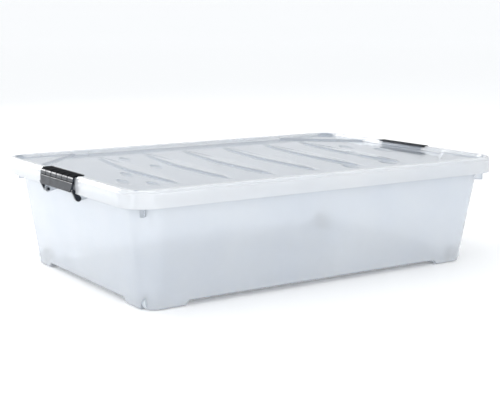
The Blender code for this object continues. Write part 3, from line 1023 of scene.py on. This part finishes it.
    def paint_lid_shade(self, lid: bpy.types.Object) -> None:
        """Paints shade into the tint: over the sunk panel, in the dimples, on steep rib flanks and on the
        wall behind a latch.
        """
        mesh = lid.data
        points = vectors(mesh.vertices, "co")
        depth = np.full(len(points), self.panel_painted_shade)
        for dimple in self.dimples():
            depth = np.maximum(depth, dimple.dip(points[:, :2]) / dimple.height)
        for rib in self.ribs():
            across = rib.across(points[:, :2])
            flank = ease((across + 1.25) / 0.25) * ease((0.2 - across) / 0.9)
            raised = ease(rib.rise(points[:, :2]) / (0.3 * rib.height) + 0.4)
            depth = np.maximum(depth, self.flank_painted_shade * flank * raised)
        panel = (np.array(self.recess_half[:2]) - np.abs(points[:, :2])).min(axis=1) > self.panel_shade_clear
        # Painted shade on the notch wall behind each latch.
        out, wide = self.recess_half[0], self.notch_half - 0.010
        behind = (np.abs(points[:, 0]) > out - 0.004) & (np.abs(points[:, 0]) < out + 0.003)
        behind &= (np.abs(points[:, 1]) < wide) & (points[:, 2] > self.panel_top - 0.001)
        store_painted_shade(mesh, np.where(behind, self.flank_painted_shade, depth * panel))

    def shell(self) -> bpy.types.Object:
        """The closed lid: both skins and both faces of the panel."""
        plan = self.plan()
        track = plan.track()
        upper = self.crown(track, 0.0)
        lower = self.crown(track, WALL)
        skin = Skin()
        skin.patch(np.concatenate([upper, lower[::-1]]), around=True)
        for drop in (0.0, WALL):
            away = self.fillet + self.recess_draft - drop
            flat = plan.points(*(size - away for size in self.recess_half))
            skin.patch(lifted(flat, self.panel(flat) - drop))
        return skin.build("lid_shell", 40.0)

    def build(self) -> None:
        """Builds and dresses the lid."""
        lid = self.shell()
        self.paint_lid_shade(lid)
        dress(lid, self.finish.make(), Slot.CLEAR_LID, "lid", "lid")


# ---------------------------------------------------------------- latches


@dataclass
class Latch:
    """A latch: a grooved top plate, a rounded nose, a plain face and two arms with pins."""

    end: End
    satin: bpy.types.Material
    ribbed_and_seam_shade: bpy.types.Material
    half_width: float = 0.0645
    tip: float = 0.3560
    plate_top: float = 0.1951
    plate_under: float = 0.1924
    lip_height: float = 0.0005
    inner: float = 0.3733
    nose_out: float = 0.3767
    nose_radius: float = 0.0080
    inner_cut: float = 0.0023
    tip_cut: float = 0.0012
    step_height: float = 0.1836
    step_out: float = 0.0008
    matt_share: float = 0.4
    lip_end: float = 0.0018
    # Band of the seam under the nose's step that is made near-black and matt as painted shade.
    seam_rise: float = 0.0003
    seam_half: float = 0.0009
    seam_clear: float = 0.0012
    face_out: float = 0.3795
    face_bottom: float = 0.1680
    face_thick: float = 0.0028
    chamfer: float = 0.0070
    grooves: int = 5
    groove_half: float = 0.0016
    groove_depth: float = 0.0014
    arm_thick: float = 0.0035
    arm_root: tuple[float, float] = (0.3762, 0.1712)
    arm_root_radius: float = 0.0024
    pivot: tuple[float, float] = PIVOT
    boss_radius: float = BOSS_RADIUS
    pin_radius: float = 0.0020
    pin_reach: float = 0.0106

    def outside(self) -> tuple[np.ndarray, np.ndarray]:
        """Outer edge of the section, from tip to face bottom, and a groove's share of each point."""
        turn = np.linspace(math.pi / 2, 0.0, 14)
        nose_x = self.nose_out - self.nose_radius + self.nose_radius * np.cos(turn)
        nose_z = self.plate_top - self.nose_radius + self.nose_radius * np.sin(turn)
        lip = self.plate_top + self.lip_height
        start = [
            (self.tip, lip - 0.0003, 0.0), (self.tip + 0.0003, lip, 0.0), (self.tip + 0.0011, lip, 0.0),
            (self.tip + 0.0016, self.plate_top, 0.0), (self.tip + 0.0022, self.plate_top - 0.0001, 0.0),
            (self.tip + 0.0026, self.plate_top, 0.0), (self.tip + 0.0032, self.plate_top, 1.0),
        ]
        nose = [(x, z, 1.0) for x, z in zip(nose_x, nose_z)]
        step = self.step_height
        finish = [
            (self.nose_out, step + 0.0016, 1.0), (self.nose_out - 0.0001, step + 0.0010, 0.3),
            (self.nose_out - 0.0009, step + 0.0007, 0.0), (self.nose_out - 0.0009, step + 0.0003, 0.0),
            (self.nose_out + self.step_out - 0.0003, step - 0.0004, 0.0),
            (self.nose_out + self.step_out, step - 0.0008, 0.0),
            (self.nose_out + self.step_out + 0.0001, step - 0.0016, 0.0),
            (self.face_out - 0.0001, self.face_bottom + 0.0014, 0.0),
            (self.face_out, self.face_bottom + 0.0006, 0.0), (self.face_out - 0.0004, self.face_bottom, 0.0),
        ]
        rows = np.array(start + nose + finish)
        return rows[:, :2], rows[:, 2]

    def inside(self, count: int) -> np.ndarray:
        """Inner edge of the section, from tip to the face's bottom, with as many points as the outer edge."""
        corners = np.array([
            (self.tip, self.plate_under + self.tip_cut), (self.tip + 0.0040, self.plate_under),
            (self.inner - self.inner_cut, self.plate_under), (self.inner, self.plate_under - self.inner_cut),
            (self.inner + 0.0008, self.step_height),
            (self.face_out - self.face_thick, self.face_bottom),
        ])
        length = np.concatenate([[0.0], np.cumsum(np.linalg.norm(np.diff(corners, axis=0), axis=1))])
        even = np.linspace(0.0, length[-1], count - len(corners) + 2)
        place = np.sort(np.concatenate([even, length[1:-1]]))
        return np.stack([np.interp(place, length, corners[:, axis]) for axis in range(2)], axis=-1)

    def shell(self, skin: Skin) -> None:
        """Adds the plate and face: the section carried along Y, pressed in at grooves and cut at corners."""
        outer, groove = self.outside()
        inner = self.inside(len(outer))
        pitch = 2.0 * self.half_width / (self.grooves + 1)
        middles = pitch * (np.arange(self.grooves) - (self.grooves - 1) / 2)
        near = [m + s * self.groove_half for m in middles for s in (-1.0, -0.6, -0.2, 0.2, 0.6, 1.0)]
        edge = 0.0004
        y = stations(-self.half_width + edge, self.half_width - edge, 0.006, near)
        y = np.concatenate([[-self.half_width], y, [self.half_width]])
        dent = np.clip(1.0 - (np.abs(y[:, None] - middles).min(axis=1) / self.groove_half) ** 2, 0.0, None)
        inset = np.zeros(len(y))
        inset[[0, -1]] = edge
        loop = np.concatenate([outer, inner[::-1]])
        ahead, behind = np.roll(loop, -1, axis=0), np.roll(loop, 1, axis=0)
        along = ahead - behind
        along = along / np.linalg.norm(along, axis=1, keepdims=True)
        inward = np.stack([along[:, 1], -along[:, 0]], axis=-1)
        depth = np.concatenate([groove, np.zeros(len(inner))]) * self.groove_depth
        press = dent[:, None] * depth + inset[:, None]
        section = loop + inward * press[..., None]
        low = np.clip(self.face_bottom + self.chamfer - section[..., 1], 0.0, self.chamfer)
        width = self.half_width - low * (section[..., 0] > self.inner - 0.002)
        across = np.clip(y[:, None], -width, width)
        points = np.stack([self.end.value * section[..., 0], across, section[..., 1]], axis=-1)
        skin.patch(points, around=True)
        count = len(outer)
        for row in (0, -1):
            skin.patch(np.stack([points[row, :count], points[row, count:][::-1]]))

    def arm_outline(self) -> np.ndarray:
        """Side outline of an arm: a drop from its round boss up to a narrow root behind the face."""
        centres = np.array([self.pivot, self.arm_root])
        radii = np.array([self.boss_radius, self.arm_root_radius])
        return drop_outline(centres, radii, 64) * (self.end.value, 1.0)

    def arms(self, skin: Skin) -> None:
        """Adds both arms and their pins."""
        for side in Side:
            outer, inner = side.value * self.half_width, side.value * (self.half_width - self.arm_thick)
            skin.patch(plate(self.arm_outline(), min(outer, inner), max(outer, inner), 0.0006), around=True)
            tip = side.value * (self.half_width - self.arm_thick / 2 - self.pin_reach)
            root = side.value * (self.half_width - self.arm_thick / 2)
            radius, soft = self.pin_radius, side.value * 0.0004
            profile = np.array([
                (0.0, root), (radius, root), (radius, tip + soft), (radius - 0.0004, tip), (0.0, tip),
            ])
            centre = (self.end.value * self.pivot[0], 0.0, self.pivot[1])
            skin.patch(lathe(profile, centre, 32), around=True)

    def build(self) -> None:
        """Builds and dresses the latch."""
        skin = Skin()
        self.shell(skin)
        self.arms(skin)
        name = f"latch_{self.end.name.lower()}"
        latch = skin.build(f"{name}_moulding", 38.0)
        dress(latch, self.satin, Slot.BLACK_LATCH, name, name)
        latch.data.materials.append(self.ribbed_and_seam_shade)
        faces = latch.data.polygons
        middle = vectors(faces, "center")
        high = middle[:, 2] > self.plate_top - self.matt_share * self.nose_radius
        past_lip = np.abs(middle[:, 0]) > self.tip + self.lip_end
        # Painted shade: the faces of the seam under the nose's step take the near-black matt finish, so the
        # step reads as a dark line.
        seam = np.abs(middle[:, 2] - self.step_height - self.seam_rise) < self.seam_half
        seam &= np.abs(middle[:, 0]) > self.inner + self.seam_clear
        faces.foreach_set("material_index", ((high & past_lip) | seam).astype(np.int32))


# ---------------------------------------------------------------- wheels


@dataclass
class Wheel:
    """A small wheel with a crowned tread, a raised hub and a bore, and the steel pin that it turns on."""

    end: End
    side: Side
    plastic: bpy.types.Material
    steel: bpy.types.Material
    place: tuple[float, float, float] = WHEEL_PLACE
    radius: float = 0.0125
    width: float = 0.0110
    bore: float = 0.0023
    hub: float = 0.0050
    tread: float = 0.0022
    dish: float = 0.0012
    edge: float = 0.0011
    pin_radius: float = 0.0020
    pin_half: float = 0.0077

    def name(self, kind: str) -> str:
        """Name of one of the pieces or nodes at this corner."""
        return f"{kind}_{self.side.name.lower()}_{self.end.name.lower()}"

    def centre(self) -> tuple[float, float, float]:
        """Point on the axle."""
        return (self.end.value * self.place[0], self.side.value * self.place[1], self.place[2])

    def wheel_profile(self) -> np.ndarray:
        """Radius and distance along the axle: bore, hub, dished side, crowned tread and back again."""
        half = self.width / 2
        turn = np.linspace(0.0, math.pi / 2, 6)
        rim = self.radius - 0.0002
        side = [
            (self.bore, half - 0.0003), (self.bore + 0.0003, half), (self.hub - 0.0003, half),
            (self.hub, half - 0.0003), (self.hub + 0.0002, half - self.dish),
            (rim - self.tread - 0.0004, half - self.dish), (rim - self.tread, half - 0.0003),
            (rim - self.tread + 0.0003, half - 0.0001),
        ]
        corner = [
            (rim - self.edge * (1.0 - math.sin(a)), half - 0.0001 - self.edge * (1.0 - math.cos(a)))
            for a in turn
        ]
        crown = [(self.radius - 0.00005, half * 0.4)]
        one = np.array(side + corner + crown)
        other = one[::-1] * (1.0, -1.0)
        return np.concatenate([one, [(self.radius, 0.0)], other, one[:1]])

    def pin_profile(self) -> np.ndarray:
        """Radius and distance along the axle of a pin with chamfered ends."""
        half, radius = self.pin_half, self.pin_radius
        one = np.array([(0.0, half), (radius - 0.0004, half), (radius, half - 0.0004)])
        return np.concatenate([one, one[::-1] * (1.0, -1.0)])

    def turned(self, kind: str, profile: np.ndarray, steps: int) -> bpy.types.Object:
        """Piece made by turning a profile about the axle.

        Args:
            kind: First part of its name.
            profile: Radius and distance along the axle.
            steps: Points round the turn.

        Returns:
            The piece.
        """
        skin = Skin()
        skin.patch(lathe(profile, self.centre(), steps), around=True)
        return skin.build(self.name(kind) + "_turned", 34.0)

    def build(self) -> None:
        """Builds and dresses the wheel and its pin."""
        wheel = self.turned("wheel", self.wheel_profile(), 72)
        dress(wheel, self.plastic, Slot.GREY_WHEEL, self.name("wheel"), self.name("wheel"))
        pin = self.turned("axle_pin", self.pin_profile(), 32)
        dress(pin, self.steel, Slot.STEEL_PIN, "tub", self.name("axle_pin"))


# ---------------------------------------------------------------- studio


@dataclass
class Studio:
    """Floor that curves up into a backdrop, soft lights and the camera."""

    camera_place: tuple[float, float, float] = (-1.0766, -1.6347, 0.4436)
    aim: tuple[float, float, float] = (0.0, 0.0, 0.0960)
    lens: float = 78.5
    sensor: float = 36.0
    reach: float = 16.0
    bend: float = 5.0
    rise: float = 4.0

    def floor(self) -> None:
        """Floor sheet: level in front, a quarter circle behind, then upright, carried sideways on a line."""
        turn = np.linspace(0.0, math.pi / 2, 17)
        back = self.reach
        depth = np.concatenate([[-self.reach], back + self.bend * np.sin(turn), [back + self.bend]])
        height = np.concatenate([[0.0], self.bend * (1.0 - np.cos(turn)), [self.bend + self.rise]])
        across = np.linspace(-20.0, 20.0, 9)
        facing = np.array([-self.camera_place[0], -self.camera_place[1]])
        facing = facing / np.linalg.norm(facing)
        beside = np.array([facing[1], -facing[0]])
        plan = depth[:, None, None] * facing + across[None, :, None] * beside
        points = lifted(plan, np.broadcast_to(height[:, None], plan.shape[:2]))
        skin = Skin()
        skin.patch(points)
        floor = skin.build("floor_sheet", 60.0)
        floor.data.materials.append(PaleFloor("pale_floor").make())

    def light(self, name: str, place: tuple, aim: tuple, size: float, power: float) -> None:
        """Square soft light aimed at a point.

        Args:
            name: Name of the light.
            place: Where it hangs.
            aim: Point that it faces.
            size: Side of the square.
            power: Power in watts.
        """
        lamp = bpy.data.lights.new(name, "AREA")
        lamp.shape = "SQUARE"
        lamp.size = size
        lamp.energy = power
        holder = bpy.data.objects.new(name, lamp)
        holder.location = place
        holder.rotation_euler = (Vector(aim) - Vector(place)).to_track_quat("-Z", "Y").to_euler()
        bpy.context.scene.collection.objects.link(holder)

    def lights(self) -> None:
        """Even white surroundings with a key, a small glint, a fill, a rim light and a soft top."""
        world = bpy.data.worlds.new("studio_air")
        world.use_nodes = True
        air = world.node_tree.nodes["Background"]
        air.inputs["Color"].default_value = (0.97, 0.985, 1.0, 1.0)
        air.inputs["Strength"].default_value = 0.90
        bpy.context.scene.world = world
        self.light("key_left", (-2.4, -0.6, 0.9), (-0.3, 0.0, 0.15), 0.9, 11.0)
        self.light("glint_left", (-1.4, 2.75, 0.8), (-0.37, 0.0, 0.19), 0.5, 18.0)
        self.light("fill_front", (-0.7, -3.0, 1.1), (0.0, 0.0, 0.1), 1.6, 30.0)
        self.light("rim_back", (-0.9, 2.6, 1.4), (-0.2, 0.0, 0.1), 1.2, 34.0)
        self.light("top_soft", (0.4, 0.6, 2.6), (0.0, 0.0, 0.1), 1.8, 4.0)

    def camera(self) -> None:
        """Camera at the height and angle of a person standing by the box."""
        lens = bpy.data.cameras.new("viewpoint")
        lens.lens = self.lens
        lens.sensor_width = self.sensor
        lens.clip_end = 60.0
        viewer = bpy.data.objects.new("viewpoint", lens)
        viewer.location = self.camera_place
        aim = Vector(self.aim) - Vector(self.camera_place)
        viewer.rotation_euler = aim.to_track_quat("-Z", "Y").to_euler()
        bpy.context.scene.collection.objects.link(viewer)
        bpy.context.scene.camera = viewer

    def build(self) -> None:
        """Sets up the whole studio."""
        self.floor()
        self.lights()
        self.camera()
        bpy.context.scene.view_settings.view_transform = "Standard"


# ---------------------------------------------------------------- assembly


def main() -> None:
    """Builds the studio, the tub, the lid, both latches and the four wheels."""
    logging.basicConfig(level=logging.INFO, format="%(name)s %(message)s")
    Studio().build()
    tub_tint, tub_milk = (0.865, 0.905, 0.96), (0.915, 0.945, 0.98)
    Tub(FrostedPlastic("frosted_tub", tub_tint, tub_milk, 0.66, (0.06, 0.12))).build()
    lid_tint, lid_milk = (0.90, 0.928, 0.965), (0.945, 0.962, 0.985)
    Lid(FrostedPlastic("frosted_lid", lid_tint, lid_milk, 0.54, (0.08, 0.15))).build()
    satin = SatinBlack("satin_black").make()
    ribbed_and_seam_shade = RibbedBlackAndSeamShade("ribbed_black").make()
    for end in End:
        Latch(end, satin, ribbed_and_seam_shade).build()
    plastic = WheelPlastic("wheel_grey").make()
    steel = DrawnSteel("drawn_steel").make()
    for end in End:
        for side in Side:
            Wheel(end, side, plastic, steel).build()


if __name__ == "__main__":
    main()
